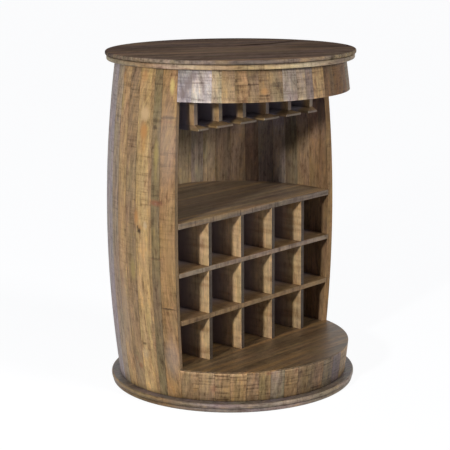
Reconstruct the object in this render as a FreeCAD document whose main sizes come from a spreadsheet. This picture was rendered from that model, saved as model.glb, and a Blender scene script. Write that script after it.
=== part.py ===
import FreeCAD, Part
import Sketcher
import math
import os
import re

# Barrel bar cabinet: a barrel of bent staves with an opening at the front, a bar shelf, a bottle rack and
# stemware rails. The origin is the middle of the footprint on the ground, +Z is up and the front faces -Y.

# Driving dimensions in millimetres.
SIZES = {
    "base_lower_thickness": 12.5,
    "base_upper_thickness": 14,
    "base_ledge": 26.5,
    "base_step": 3.5,
    "base_rounding": 5,
    "barrel_height": 962,
    "bulge_radius": 380.5,
    "bulge_height": 490,
    "bend_radius": 3594,
    "stave_thickness": 18,
    "opening_offset": 106.5,
    "fit_clearance": 0.2,
    "drum_height": 91.5,
    "floor_thickness": 15,
    "floor_lip": 4,
    "fascia_height": 92,
    "ceiling_thickness": 15,
    "top_disc_thickness": 15,
    "top_disc_inset": 4,
    "top_slab_thickness": 12.5,
    "top_overhang": 29.5,
    "top_rounding": 4.5,
    "shelf_height": 548.5,
    "shelf_thickness": 16.5,
    "rack_shelf_thickness": 14,
    "divider_thickness": 14,
    "outer_cell_width": 124.7,
    "lap_depth": 200,
    "rail_side_gap": 52,
    "rail_back_gap": 18.5,
    "rail_reach": 10,
    "rail_height": 90,
    "stem_thickness": 15,
    "stem_setback": 16.5,
    "foot_width": 70,
    "foot_edge": 6,
    "foot_rise": 9.5,
    "screw_radius": 2,
    "screw_head_radius": 4,
    "screw_head_depth": 3,
    "screw_length": 45,
    "screw_clearance": 0.1,
    "rail_screw_inset": 60,
    "overrun": 20,
}

# Counts.
RACK_ROWS = 3
RACK_COLUMNS = 5
RAILS = 6
STAVES_PER_SCREW = 3

# Widths of the staves round the shell, from the right side of the opening to the left.
STAVE_SHARES = (
    6.9, 7.0, 7.7, 7.2, 6.9, 8.2, 7.1, 7.6, 8.0, 6.4, 6.6, 7.2, 8.1, 6.8, 7.9,
    7.4, 8.3, 6.9, 7.7, 7.3, 8.0, 7.1, 7.6, 7.1, 7.0, 7.3, 9.5, 4.5, 7.9,
)
# Widths of the fascia's and the drum's blocks, from left to right across the front.
FASCIA_SHARES = (
    6.9, 9.3, 4.5, 6.0, 5.8, 5.0, 5.2, 6.4, 7.4, 5.1, 4.3, 7.7, 8.0, 8.6, 7.0, 9.1, 7.6, 8.2, 7.4, 9.2, 7.5,
)
DRUM_SHARES = (
    9.0, 7.7, 7.0, 7.8, 5.7, 5.8, 7.0, 7.2, 8.2, 8.2, 8.4, 8.6, 8.1, 7.5, 9.0, 7.2, 8.4, 7.7, 8.1,
)
# Widths of the top's planks, from the front to the back, and how far they are turned about the barrel's axis.
PLANK_SHARES = (0.13, 0.18, 0.17, 0.2, 0.16, 0.16)
PLANK_TURN = "327 deg"
# Most of a disc's thickness that one rounded rim may take.
RIM_SHARE = 0.45

# Places worked out from the driving dimensions, as expressions.
BASE_TOP = "(base_lower_thickness + base_upper_thickness)"
BARREL_TOP = f"({BASE_TOP} + barrel_height)"
FLOOR_TOP = f"({BASE_TOP} + drum_height)"
CEILING = f"({BARREL_TOP} - fascia_height)"
RAIL_BOTTOM = f"({CEILING} - rail_height)"
RAIL_FRONT = "(-opening_offset - rail_reach)"
SHELF_UNDERSIDE = "(shelf_height - shelf_thickness)"
ROW_PITCH = f"(({SHELF_UNDERSIDE} - {FLOOR_TOP} + rack_shelf_thickness) / {RACK_ROWS})"
BEYOND = "(bulge_radius + base_ledge + top_overhang)"

# The opening's edges point at the barrel's axis. At the bulge they are level with the boards' fronts.
EDGE_ANGLE = "acos(opening_offset / (bulge_radius - stave_thickness / 2))"
BACK_SWEEP = f"(360 deg - 2 * {EDGE_ANGLE})"
FRONT_SWEEP = f"(2 * {EDGE_ANGLE})"
BACK_START = f"({EDGE_ANGLE} - 90 deg)"
FRONT_START = f"(270 deg - {EDGE_ANGLE})"


def barrel_radius(height):
    """Expression for the barrel's outer radius at a height above the ground."""
    return f"(bulge_radius - bend_radius + sqrt(bend_radius ^ 2 - ({height} - bulge_height) ^ 2))"


FOOT_RADIUS = barrel_radius(BASE_TOP)
HEAD_RADIUS = barrel_radius(BARREL_TOP)
BASE_RADIUS = f"({FOOT_RADIUS} + base_ledge)"
TOP_RADIUS = f"({HEAD_RADIUS} + top_overhang)"

# The dividers stand at one pitch between the two outer columns of the rack.
RACK_WALL = f"({barrel_radius(SHELF_UNDERSIDE)} - stave_thickness)"
RACK_SIDE = f"(sqrt({RACK_WALL} ^ 2 - opening_offset ^ 2) - outer_cell_width)"
DIVIDER_PITCH = f"((2 * {RACK_SIDE} - divider_thickness) / {RACK_COLUMNS - 2})"

# The rails are alike and share the opening's width under the ceiling, where the staves stand closest.
# They end a little short of where the outermost one would meet the staves.
RAIL_WALL = f"({barrel_radius(CEILING)} - stave_thickness)"
RAIL_SIDE = f"(sqrt({RAIL_WALL} ^ 2 - opening_offset ^ 2) - rail_side_gap)"
RAIL_PITCH = f"((2 * {RAIL_SIDE} - stem_thickness) / {RAILS - 1})"
RAIL_BACK = f"(sqrt({RAIL_WALL} ^ 2 - {RAIL_SIDE} ^ 2) - rail_back_gap)"
RAIL_LENGTH = f"({RAIL_BACK} - {RAIL_FRONT})"

doc = FreeCAD.newDocument("barrel_bar_cabinet")
sheet = doc.addObject("Spreadsheet::Sheet", "sizes")
for row, (alias, value) in enumerate(SIZES.items(), start=1):
    sheet.set(f"A{row}", alias)
    sheet.set(f"B{row}", str(value))
    sheet.setAlias(f"B{row}", alias)
doc.recompute()

pieces = []


def in_sheet(expression):
    """Points the size names in an expression at the spreadsheet."""
    def pointed(word):
        return f"sizes.{word[0]}" if word[0] in SIZES else word[0]

    return re.sub(r"[a-z_]+", pointed, str(expression))


def amount(expression):
    """Present value of an expression, for first guesses in sketches."""
    return float(sheet.evalExpression(in_sheet(expression)))


def bind(thing, **expressions):
    for name, expression in expressions.items():
        thing.setExpression(name, in_sheet(expression))
    return thing


def place(thing, x="0", y="0", z="0", turn=None):
    """Ties a placement to the sizes; turn is an angle about Z."""
    if turn is not None:
        thing.Placement.Rotation = FreeCAD.Rotation(FreeCAD.Vector(0, 0, 1), 1)
        thing.setExpression("Placement.Rotation.Angle", in_sheet(turn))
    for axis, expression in zip("xyz", (x, y, z)):
        thing.setExpression(f"Placement.Base.{axis}", in_sheet(expression))
    return thing


def box(name, length, width, height, x, y, z):
    block = bind(doc.addObject("Part::Box", name), Length=length, Width=width, Height=height)
    return place(block, x, y, z)


def cylinder(name, radius, height, x="0", y="0", z="0"):
    rod = bind(doc.addObject("Part::Cylinder", name), Radius=radius, Height=height)
    return place(rod, x, y, z)


def sector(name, start, sweep, height=f"{BARREL_TOP} + overrun", bottom="0"):
    """Wedge of a circle, wider than the whole cabinet, and taller too unless a height is given."""
    wedge = bind(doc.addObject("Part::Cylinder", name), Radius=BEYOND, Height=height, Angle=sweep)
    return place(wedge, z=bottom, turn=start)


def common(name, base, tool):
    joined = doc.addObject("Part::Common", name)
    joined.Base = base
    joined.Tool = tool
    return joined


def cut(name, base, tool):
    remainder = doc.addObject("Part::Cut", name)
    remainder.Base = base
    remainder.Tool = tool
    return remainder


def fuse(name, base, tool):
    whole = doc.addObject("Part::Fuse", name)
    whole.Base = base
    whole.Tool = tool
    return whole


def group(name, members):
    bundle = doc.addObject("Part::Compound", name)
    bundle.Links = members
    return bundle


def piece(thing, label):
    """Registers a finished sub-part under the name of its node."""
    thing.Label = label
    pieces.append(thing)
    return thing


def origin_plane(body, role):
    return next(plane for plane in body.Origin.OriginFeatures if plane.Role == role)


def new_sketch(body, name, role):
    sketch = body.newObject("Sketcher::SketchObject", name)
    sketch.AttachmentSupport = [(origin_plane(body, role), "")]
    sketch.MapMode = "FlatFace"
    return sketch


def constrain(sketch, name, kind, *places, value):
    """Adds a named dimension to a sketch and ties it to the sizes."""
    index = sketch.addConstraint(Sketcher.Constraint(kind, *places, amount(value)))
    sketch.renameConstraint(index, name)
    sketch.setExpression(f"Constraints.{name}", in_sheet(value))


def bent_arc(bend):
    """Arc of a stave's long side, in the plane of a barrel section."""
    centre = FreeCAD.Vector(amount("bulge_radius - bend_radius"), amount("bulge_height"), 0)
    radius = amount(bend)
    low = math.asin((amount(BASE_TOP) - centre.y) / radius)
    high = math.asin((amount(BARREL_TOP) - centre.y) / radius)
    return Part.ArcOfCircle(Part.Circle(centre, FreeCAD.Vector(0, 0, 1), radius), low, high)


def revolve(body, sketch):
    turned = body.newObject("PartDesign::Revolution", f"{body.Name}_turned")
    turned.Profile = sketch
    turned.ReferenceAxis = (sketch, ["V_Axis"])
    doc.recompute()
    return body


def barrel_section(name, outer_bend, inner_bend=None):
    """Solid of revolution under one bent arc, or between two of them."""
    body = doc.addObject("PartDesign::Body", name)
    sketch = new_sketch(body, f"{name}_section", "XZ_Plane")
    outer = bent_arc(outer_bend)
    if inner_bend is None:
        low = FreeCAD.Vector(0, outer.StartPoint.y, 0)
        high = FreeCAD.Vector(0, outer.EndPoint.y, 0)
        inner = Part.LineSegment(low, high)
    else:
        inner = bent_arc(inner_bend)
        low = inner.StartPoint
        high = inner.EndPoint
    sketch.addGeometry(outer)
    sketch.addGeometry(Part.LineSegment(outer.EndPoint, high))
    sketch.addGeometry(inner)
    sketch.addGeometry(Part.LineSegment(low, outer.StartPoint))
    sketch.addConstraint(Sketcher.Constraint("Coincident", 0, 2, 1, 1))
    sketch.addConstraint(Sketcher.Constraint("Coincident", 1, 2, 2, 2))
    sketch.addConstraint(Sketcher.Constraint("Coincident", 2, 1, 3, 1))
    sketch.addConstraint(Sketcher.Constraint("Coincident", 3, 2, 0, 1))
    sketch.addConstraint(Sketcher.Constraint("Horizontal", 1))
    sketch.addConstraint(Sketcher.Constraint("Horizontal", 3))
    constrain(sketch, "centre_x", "DistanceX", 0, 3, -1, 1, value="bend_radius - bulge_radius")
    constrain(sketch, "centre_z", "DistanceY", -1, 1, 0, 3, value="bulge_height")
    constrain(sketch, "outer_bend", "Radius", 0, value=outer_bend)
    constrain(sketch, "bottom", "DistanceY", -1, 1, 0, 1, value=BASE_TOP)
    constrain(sketch, "top", "DistanceY", -1, 1, 0, 2, value=BARREL_TOP)
    if inner_bend is None:
        sketch.addConstraint(Sketcher.Constraint("PointOnObject", 2, 1, -2))
        sketch.addConstraint(Sketcher.Constraint("PointOnObject", 2, 2, -2))
    else:
        sketch.addConstraint(Sketcher.Constraint("Coincident", 0, 3, 2, 3))
        constrain(sketch, "inner_bend", "Radius", 2, value=inner_bend)
    doc.recompute()
    return revolve(body, sketch)


def round_rims(body, pad, rounding):
    """Rounds both rims of a padded disc."""
    rims = [
        f"Edge{index}"
        for index, edge in enumerate(pad.Shape.Edges, start=1)
        if isinstance(edge.Curve, Part.Circle)
    ]
    fillet = body.newObject("PartDesign::Fillet", f"{body.Name}_rims")
    fillet.Base = (pad, rims)
    bind(fillet, Radius=rounding)


def disc(name, radius, thickness, z, rounding):
    body = doc.addObject("PartDesign::Body", name)
    sketch = new_sketch(body, f"{name}_circle", "XY_Plane")
    sketch.addGeometry(Part.Circle(FreeCAD.Vector(0, 0, 0), FreeCAD.Vector(0, 0, 1), amount(radius)))
    sketch.addConstraint(Sketcher.Constraint("Coincident", 0, 3, -1, 1))
    constrain(sketch, "radius", "Radius", 0, value=radius)
    pad = body.newObject("PartDesign::Pad", f"{name}_pad")
    pad.Profile = sketch
    bind(pad, Length=thickness)
    doc.recompute()
    round_rims(body, pad, f"min({rounding}; {RIM_SHARE} * {thickness})")
    return place(body, z=z)


def running_shares(shares):
    """Yields where each share starts and how wide it is, as fractions of the whole."""
    done = 0
    for share in shares:
        yield done / sum(shares), share / sum(shares)
        done += share


def wedges(shares, start, sweep):
    """Angles (start, sweep) of a row of pieces round the barrel."""
    return [
        (f"({start} + {begin} * {sweep})", f"({width} * {sweep})")
        for begin, width in running_shares(shares)
    ]


def screw(name, x, y, z, up, clearance="0"):
    """Countersunk screw whose head's flat lies at z; up tells whether the shank points up."""
    head_radius = f"screw_head_radius + {clearance}"
    shank_radius = f"screw_radius + {clearance}"
    length = f"(screw_length + {clearance})"
    cone = doc.addObject("Part::Cone", f"{name}_head")
    if up:
        bind(cone, Radius1=head_radius, Radius2=shank_radius, Height="screw_head_depth")
        place(cone, x, y, z)
        shank = cylinder(f"{name}_shank", shank_radius, length, x, y, z)
    else:
        bind(cone, Radius1=shank_radius, Radius2=head_radius, Height="screw_head_depth")
        place(cone, x, y, f"{z} - screw_head_depth")
        shank = cylinder(f"{name}_shank", shank_radius, length, x, y, f"{z} - {length}")
    return fuse(name, cone, shank)


def screw_set(name, places, z, up):
    """A group of alike screws, and the holes that they sit in."""
    screws = []
    holes = []
    for index, (x, y) in enumerate(places, start=1):
        screws.append(screw(f"{name}_{index}", x, y, z, up))
        holes.append(screw(f"{name}_hole_{index}", x, y, z, up, "screw_clearance"))
    piece(group(name, screws), name)
    return holes


def round_places(angles, radius):
    return [(f"{radius} * cos({angle})", f"{radius} * sin({angle})") for angle in angles]


# Solids that the pieces are cut from.
shell = barrel_section("shell", "bend_radius", "(bend_radius - stave_thickness)")
barrel = barrel_section("barrel", "bend_radius")
core = barrel_section("core", "(bend_radius - stave_thickness - fit_clearance)")

# Screw places: every few staves, drum blocks and fascia blocks, in the middle of a piece.
stave_wedges = wedges(STAVE_SHARES, BACK_START, BACK_SWEEP)
fascia_wedges = wedges(FASCIA_SHARES, FRONT_START, FRONT_SWEEP)
drum_wedges = wedges(DRUM_SHARES, FRONT_START, FRONT_SWEEP)


SCREWED = slice(1, None, STAVES_PER_SCREW)


def middles(row):
    return [f"({start} + {sweep} / 2)" for start, sweep in row[SCREWED]]


foot_circle = f"({FOOT_RADIUS} - stave_thickness / 2)"
head_circle = f"({HEAD_RADIUS} - stave_thickness / 2)"
foot_places = round_places(middles(stave_wedges) + middles(drum_wedges), foot_circle)
head_places = round_places(middles(stave_wedges) + middles(fascia_wedges), head_circle)
base_holes = screw_set("base_screws", foot_places, "0", up=True)
top_holes = screw_set("top_screws", head_places, f"({BARREL_TOP} + top_disc_thickness)", up=False)


# Base.
def make_base():
    lower = disc(
        "base_lower_blank", f"{BASE_RADIUS} - base_step", "base_lower_thickness", "0", "base_rounding"
    )
    upper = disc(
        "base_upper_blank", BASE_RADIUS, "base_upper_thickness", "base_lower_thickness", "base_rounding"
    )
    holes = group("base_holes", base_holes)
    piece(cut("base_lower_drilled", lower, holes), "base_lower_disc")
    piece(cut("base_upper_drilled", upper, holes), "base_upper_disc")


# Staves of the shell, with long edges that point at the barrel's axis.
def make_staves():
    last = len(stave_wedges)
    screwed = range(1, last + 1)[SCREWED]
    for number, (start, sweep) in enumerate(stave_wedges, start=1):
        label = f"stave_{number:02d}"
        stave = common(f"{label}_blank", shell, sector(f"{label}_wedge", start, sweep))
        if number in screwed:
            place_in_row = screwed.index(number)
            holes = group(f"{label}_holes", [base_holes[place_in_row], top_holes[place_in_row]])
            stave = cut(f"{label}_drilled", stave, holes)
        piece(stave, label)


# Blocks that close the circle above and below the opening.
def make_blocks(label, row, low, height, holes):
    slab = cylinder(f"{label}_slab", BEYOND, height, z=low)
    band = common(f"{label}_band", shell, slab)
    block_holes = group(f"{label}_holes", holes[-len(row[SCREWED]):])
    drilled = cut(f"{label}_drilled", band, block_holes)
    blocks = [
        common(f"{label}_block_{number}", drilled, sector(f"{label}_wedge_{number}", start, sweep))
        for number, (start, sweep) in enumerate(row, start=1)
    ]
    piece(group(label, blocks), label)


# Floor panel: fits inside the staves and the drum's blocks, and covers the blocks with a thin lip.
def make_floor():
    sheet_blank = cylinder("floor_blank", BEYOND, "floor_thickness", z=f"{FLOOR_TOP} - floor_thickness")
    inside = common("floor_inside", core, sheet_blank)
    lip_slab = sector(
        "floor_lip_slab", FRONT_START, FRONT_SWEEP, "floor_lip", f"{FLOOR_TOP} - floor_lip"
    )
    lip = common("floor_lip_blank", barrel, lip_slab)
    piece(fuse("floor_board", inside, lip), "floor_panel")


def inner_board(name, thickness, top):
    """Board from the opening back to the staves, shaped to the inside of the barrel."""
    bottom = f"{top} - {thickness}"
    blank = box(
        f"{name}_blank", f"2 * {BEYOND}", BEYOND, thickness, f"-{BEYOND}", "-opening_offset", bottom
    )
    return common(f"{name}_board", core, blank)


def divider_places():
    return [f"({column - RACK_COLUMNS / 2} * {DIVIDER_PITCH})" for column in range(1, RACK_COLUMNS)]


def rack_tops():
    return [f"({FLOOR_TOP} + {row} * {ROW_PITCH})" for row in range(1, RACK_ROWS)]


# Bottle rack: the shelves are slotted from behind and the dividers from the front, and they slide together.
def make_rack():
    lap = "(-opening_offset + lap_depth)"
    for number, top in enumerate(rack_tops(), start=1):
        board = inner_board(f"rack_shelf_{number}", "rack_shelf_thickness", top)
        slots = [
            box(
                f"rack_shelf_{number}_slot_{index}", "divider_thickness + 2 * fit_clearance", BEYOND,
                "rack_shelf_thickness + 2 * overrun", f"{x} - divider_thickness / 2 - fit_clearance", lap,
                f"{top} - rack_shelf_thickness - overrun",
            )
            for index, x in enumerate(divider_places(), start=1)
        ]
        slotted = cut(f"rack_shelf_{number}_slotted", board, group(f"rack_shelf_{number}_slots", slots))
        piece(slotted, f"rack_shelf_{number}")
    for number, x in enumerate(divider_places(), start=1):
        blank = box(
            f"divider_{number}_blank", "divider_thickness", BEYOND, f"{SHELF_UNDERSIDE} - {FLOOR_TOP}",
            f"{x} - divider_thickness / 2", "-opening_offset", FLOOR_TOP,
        )
        board = common(f"divider_{number}_board", core, blank)
        slots = [
            box(
                f"divider_{number}_slot_{index}", "divider_thickness + 2 * overrun",
                "lap_depth + fit_clearance + overrun", "rack_shelf_thickness + 2 * fit_clearance",
                f"{x} - divider_thickness / 2 - overrun", "-opening_offset - overrun",
                f"{top} - rack_shelf_thickness - fit_clearance",
            )
            for index, top in enumerate(rack_tops(), start=1)
        ]
        slotted = cut(f"divider_{number}_slotted", board, group(f"divider_{number}_slots", slots))
        piece(slotted, f"rack_divider_{number}")


def rail_places():
    return [f"({number - (RAILS - 1) / 2} * {RAIL_PITCH})" for number in range(RAILS)]


# Bevelled foot of a rail: a flat strip below, sloping up to the stem at its sides and its front end.
def make_foot(number, x):
    left = "stem_thickness / 2" if number == 1 else "foot_width / 2"
    right = "stem_thickness / 2" if number == RAILS else "foot_width / 2"
    name = f"foot_{number}"
    strip = box(
        f"{name}_strip", f"{left} + {right}", RAIL_LENGTH, "foot_edge",
        f"{x} - {left}", RAIL_FRONT, RAIL_BOTTOM,
    )
    slope = doc.addObject("Part::Wedge", f"{name}_slope")
    bind(slope, Xmin=f"-({left})", Xmax=right, X2min="-stem_thickness / 2", X2max="stem_thickness / 2")
    bind(slope, Ymin="0", Ymax="foot_rise")
    bind(slope, Zmin=f"-{RAIL_LENGTH}", Zmax="0", Z2min=f"-{RAIL_LENGTH}", Z2max="-stem_setback")
    slope.Placement.Rotation = FreeCAD.Rotation(FreeCAD.Vector(1, 0, 0), 90)
    place(slope, x, RAIL_FRONT, f"{RAIL_BOTTOM} + foot_edge")
    piece(fuse(f"{name}_whole", strip, slope), f"rail_foot_{number}")


# Ceiling panel and the stemware rails that hang from it.
def make_rails():
    depths = [f"({RAIL_FRONT} + rail_screw_inset)", f"({RAIL_BACK} - rail_screw_inset)"]
    places = [(x, y) for x in rail_places() for y in depths]
    holes = screw_set("rail_screws", places, f"({CEILING} + ceiling_thickness)", up=False)
    slab = cylinder("ceiling_blank", BEYOND, "ceiling_thickness", z=CEILING)
    panel = common("ceiling_board", core, slab)
    piece(cut("ceiling_drilled", panel, group("rail_holes", holes)), "ceiling_panel")
    for number, x in enumerate(rail_places(), start=1):
        stem = box(
            f"stem_{number}_blank", "stem_thickness", f"{RAIL_LENGTH} - stem_setback",
            "rail_height - foot_edge - foot_rise", f"{x} - stem_thickness / 2",
            f"{RAIL_FRONT} + stem_setback", f"{RAIL_BOTTOM} + foot_edge + foot_rise",
        )
        last_hole = number * len(depths)
        stem_holes = group(f"stem_{number}_holes", holes[last_hole - len(depths):last_hole])
        piece(cut(f"stem_{number}_drilled", stem, stem_holes), f"rail_stem_{number}")
        make_foot(number, x)


# Top: a drilled lower disc, hidden screws, and a slab of planks over them.
def make_top():
    lower = disc(
        "top_disc_blank", f"{TOP_RADIUS} - top_disc_inset", "top_disc_thickness", BARREL_TOP, "top_rounding"
    )
    piece(cut("top_disc_drilled", lower, group("top_holes", top_holes)), "top_lower_disc")
    slab_bottom = f"({BARREL_TOP} + top_disc_thickness)"
    slab = disc("top_slab_blank", TOP_RADIUS, "top_slab_thickness", slab_bottom, "top_rounding")
    planks = []
    for number, (begin, width) in enumerate(running_shares(PLANK_SHARES), start=1):
        strip = box(
            f"plank_{number}_strip", f"2 * {BEYOND}", f"2 * {TOP_RADIUS} * {width}", "top_slab_thickness",
            f"-{BEYOND}", f"{TOP_RADIUS} * (2 * {begin} - 1)", slab_bottom,
        )
        planks.append(common(f"plank_{number}", slab, strip))
    piece(place(group("top_planks", planks), turn=PLANK_TURN), "top_slab")


make_base()
make_staves()
drum_top = f"({FLOOR_TOP} - floor_lip)"
make_blocks("drum_blocks", drum_wedges, BASE_TOP, f"{drum_top} - {BASE_TOP}", base_holes)
make_blocks("fascia_blocks", fascia_wedges, CEILING, "fascia_height", top_holes)
make_floor()
piece(inner_board("shelf", "shelf_thickness", "shelf_height"), "bar_shelf")
make_rack()
make_rails()
make_top()
doc.recompute()


def check(thing):
    shape = thing.Shape
    if shape.isNull() or not shape.isValid() or not shape.Solids:
        raise RuntimeError(f"{thing.Label} has no valid solid")


for thing in doc.Objects:
    if "Invalid" in thing.State or "Error" in thing.State:
        raise RuntimeError(f"{thing.Label} failed to rebuild")
for thing in pieces:
    check(thing)
os.makedirs("parts", exist_ok=True)
for thing in pieces:
    thing.Shape.exportStep(f"parts/{thing.Label}.step")
    print(thing.Label, len(thing.Shape.Solids), round(thing.Shape.Volume))
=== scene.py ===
"""Looks of a barrel bar cabinet: staves, blocks, base, top, boards, rack and rails, in a plain studio."""

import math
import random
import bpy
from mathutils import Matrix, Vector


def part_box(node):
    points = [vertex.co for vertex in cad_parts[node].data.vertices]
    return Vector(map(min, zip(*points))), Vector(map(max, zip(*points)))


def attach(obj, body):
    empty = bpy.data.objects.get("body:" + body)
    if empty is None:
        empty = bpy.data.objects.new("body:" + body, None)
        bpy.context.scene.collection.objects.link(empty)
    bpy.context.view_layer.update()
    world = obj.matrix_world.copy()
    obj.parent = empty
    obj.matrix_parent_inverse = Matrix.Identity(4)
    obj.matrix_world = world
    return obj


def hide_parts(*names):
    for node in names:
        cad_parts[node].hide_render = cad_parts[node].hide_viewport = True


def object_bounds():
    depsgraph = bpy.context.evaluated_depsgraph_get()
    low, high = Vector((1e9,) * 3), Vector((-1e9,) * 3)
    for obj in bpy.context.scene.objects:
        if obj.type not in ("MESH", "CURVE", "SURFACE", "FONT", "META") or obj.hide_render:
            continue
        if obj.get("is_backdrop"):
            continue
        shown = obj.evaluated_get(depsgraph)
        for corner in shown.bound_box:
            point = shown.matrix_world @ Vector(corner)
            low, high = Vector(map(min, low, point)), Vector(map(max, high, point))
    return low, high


bl_info = {
    "name": "Barrel Bar Cabinet",
    "version": (1, 0, 0),
    "blender": (4, 5, 0),
    "location": "View3D > Sidebar > Barrel Bar",
    "description": "Dresses the frame of a barrel bar cabinet in weathered wood and sets up a plain studio",
    "category": "Add Mesh",
}

import bmesh
import bpy
from bpy.props import FloatProperty, FloatVectorProperty, PointerProperty
from mathutils import Matrix, Vector

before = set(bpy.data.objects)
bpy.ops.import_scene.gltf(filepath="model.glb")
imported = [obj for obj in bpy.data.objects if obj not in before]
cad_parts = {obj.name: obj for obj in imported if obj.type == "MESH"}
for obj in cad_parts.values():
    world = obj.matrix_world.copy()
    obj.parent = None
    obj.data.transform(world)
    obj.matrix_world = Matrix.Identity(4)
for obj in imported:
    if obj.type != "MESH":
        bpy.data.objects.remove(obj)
frame_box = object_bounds()

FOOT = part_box("stave_02")[0].z
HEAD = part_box("stave_02")[1].z
OPENING = -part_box("bar_shelf")[0].y

# Edges are sharp above the first angle, and faces are one face below the second.
SHARP = math.radians(20)
FLAT = math.radians(0.2)
# Corners, block joints and plank joints that are nearer than this are one.
MERGE = 0.00002
BLOCK_GAP = math.radians(0.5)
PLANK_GAP = 0.005
# Cosines above which a face looks squarely one way, is flat on a disc, is flat on a board, is no eased edge of a
# block, or looks to the front.
SQUARE = 0.9999
DISC_FLAT = 0.97
BOARD_FLAT = 0.9
BLOCK_FACE = 0.955
FRONT = 0.5
# Cosine below which a face stands upright.
UPRIGHT = 0.001
# Areas that a block's side is larger than, and that an eased edge of a rail is smaller than.
SIDE_AREA = 0.0002
EASED_AREA = 0.00001

# Tone of each stave and its lightness, from the right of the opening round the back to the left.
STAVE_TONES = (
    ("honey", 0.57), ("honey", 0.67), ("tan", 0.73), ("moss", 0.66), ("ash", 0.88), ("ash", 0.62), ("umber", 0.96),
    ("brown", 1.06), ("brown", 0.90), ("moss", 1.52), ("ash", 0.93), ("moss", 1.48), ("tan", 0.9), ("brown", 0.95),
    ("honey", 0.8), ("moss", 1.0), ("tan", 0.85), ("ash", 0.95), ("brown", 1.0), ("golden", 0.85), ("moss", 0.95),
    ("mauve", 0.85), ("mauve", 0.85), ("ash", 0.92), ("tan", 0.96), ("brown", 0.96), ("golden", 0.84),
    ("moss", 0.79), ("honey", 0.74),
)
# Staves with a strip of another tone beyond an angle from the back.
SAPWOOD = {"stave_27": (math.radians(91.5), "tan")}
# Long edges of the staves beside the opening.
EDGE_TONES = {"stave_01": ("honey", 0.56), "stave_29": ("brown", 0.8)}
# Tone of each block and its lightness, from left to right across the front.
FASCIA_TONES = (
    # The first two blocks' silver tone is bleached wood with a painted sheen.
    ("bleached_and_sheen", 0.53), ("bleached_and_sheen", 0.68), ("straw", 0.72), ("brown", 0.96), ("tan", 0.67), ("brown", 0.74),
    ("tan", 0.58), ("brown", 0.80), ("rim", 1.09), ("ash", 0.77), ("rim", 0.72), ("tan", 0.90), ("honey", 0.37),
    ("amber", 0.32), ("amber", 0.30), ("brown", 0.56), ("umber", 1.0), ("brown", 0.75), ("ash", 0.7),
    ("brown", 0.8), ("tan", 0.7),
)
DRUM_TONES = (
    ("tan", 0.70), ("brown", 0.90), ("tan", 0.65), ("tan", 0.71), ("brown", 0.74), ("tan", 0.52), ("ash", 0.60),
    ("tan", 0.57), ("brown", 0.58), ("brown", 0.53), ("ash", 0.39), ("plum", 0.66), ("brown", 0.65), ("tan", 0.55),
    ("umber", 0.9), ("brown", 0.7), ("tan", 0.55), ("ash", 0.6), ("brown", 0.7),
)
# Tones of the rims and their lightness, at angles from the front.
BASE_TONES = (
    (-180, "brown", 0.7), (-80, "tan", 0.57), (-60, "rim", 0.86), (-30, "rim", 0.9), (5, "ash", 0.6),
    (60, "rim", 0.66), (180, "brown", 0.7),
)
FLOOR_TONES = (
    (-180, "stain", 0.6), (-75, "stain", 0.6), (-50, "stain", 0.8), (-20, "tan", 0.6), (10, "tan", 0.42),
    (180, "stain", 0.6),
)
DISC_TONES = (
    (-180, "straw", 0.7), (-115, "straw", 0.5), (-88, "tan", 0.92), (-72, "straw", 1.0), (-45, "tan", 0.9),
    (-15, "straw", 1.0), (10, "ash", 0.72), (180, "straw", 0.7),
)
SLAB_TONES = (
    (-180, "rim", 0.8), (-115, "rim", 0.5), (-88, "ash", 0.95), (-65, "rim", 0.92), (-50, "rim", 0.55),
    (-25, "rim", 0.7), (10, "ash", 0.9), (180, "rim", 0.8),
)
SHELF_TONES = ((-180, "edge", 0.48), (180, "edge", 0.48))
CEILING_TONES = ((-180, "stain", 0.6), (180, "stain", 0.6))
# Front edges of the bottle rack's shelves and dividers.
RACK_EDGES = {"rack_shelf_1": ("tan", 0.55), "rack_shelf_2": ("edge", 0.7)}
DIVIDER_EDGE = ("edge", 0.18)
# Lightness of each kind of face of a stave or a block, and of a stave's eased edges on the inside.
STAVE_SHARES = {"outside": 1.0, "inside": 1.0, "eased": 0.55, "side": 0.8, "end": 0.7}
BLOCK_SHARES = {"outside": 1.0, "inside": 1.0, "eased": 0.8, "side": 0.8, "end": 0.75}
INNER_EASED = 1.25
# Inside, the staves are lighter, and take on a painted cool shade, from a little of it to all of it from one height
# to another, under the ceiling.
INSIDE_LIGHT = Vector((1.06, 1.06, 1.06, 1))
COOL_SHADE_LIFT = Vector((0, 0.15, 1, 0))
LEAST_COOL_SHADE = 0.2
COOL_SHADE_FROM = 0.70
COOL_SHADE_TO = 0.82
# Strength of the saw marks on the staves at the ground, its rise for each metre, and on the bleached blocks with
# their painted sheen.
SAW_AT_GROUND = 0.4
SAW_RISE = 1.6
SAW_BLEACHED = 0.5
# Lightness that the planks of the top vary between.
PLANK_LIGHT = (0.87, 1.05)
# How wood varies: its hue, golden and reddish blots, golden bands, the dark of ripples and of saw marks.
HUE_SPREAD = Vector((0.32, 0.24, 0.55))
GOLDEN_BLOTS = (1.2, 1.08, 0.8)
REDDISH_BLOTS = (0.66, 0.56, 0.54)
GOLDEN_BANDS = (1.35, 1.18, 0.8)
RIPPLE_DARK = (0.86, 0.72, 0.58)
SAW_DARK = (0.52, 0.43, 0.4)
# How far fibres wander, and the share of the painted shade deep inside.
WANDER = 0.005
DEEP_SHARE = 0.88
# Marks: solid share of their reach, raggedness of their edges, and thickness of those on the top.
MARK_CORE = 0.25
MARK_RAGGED = 0.008
MARK_DEPTH = 0.05


def nodes_called(*starts):
    return sorted(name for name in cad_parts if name.startswith(starts))


def tone(name, description, default):
    return FloatVectorProperty(
        name=name, description=description, subtype="COLOR", size=3, min=0, max=1, default=default
    )


def setting(name, description, default, **kind):
    return FloatProperty(name=name, description=description, default=default, **kind)


def length(name, description, default):
    return setting(name, description, default, unit="LENGTH")


def angle(name, description, degrees):
    return setting(name, description, math.radians(degrees), subtype="ANGLE")


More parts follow.
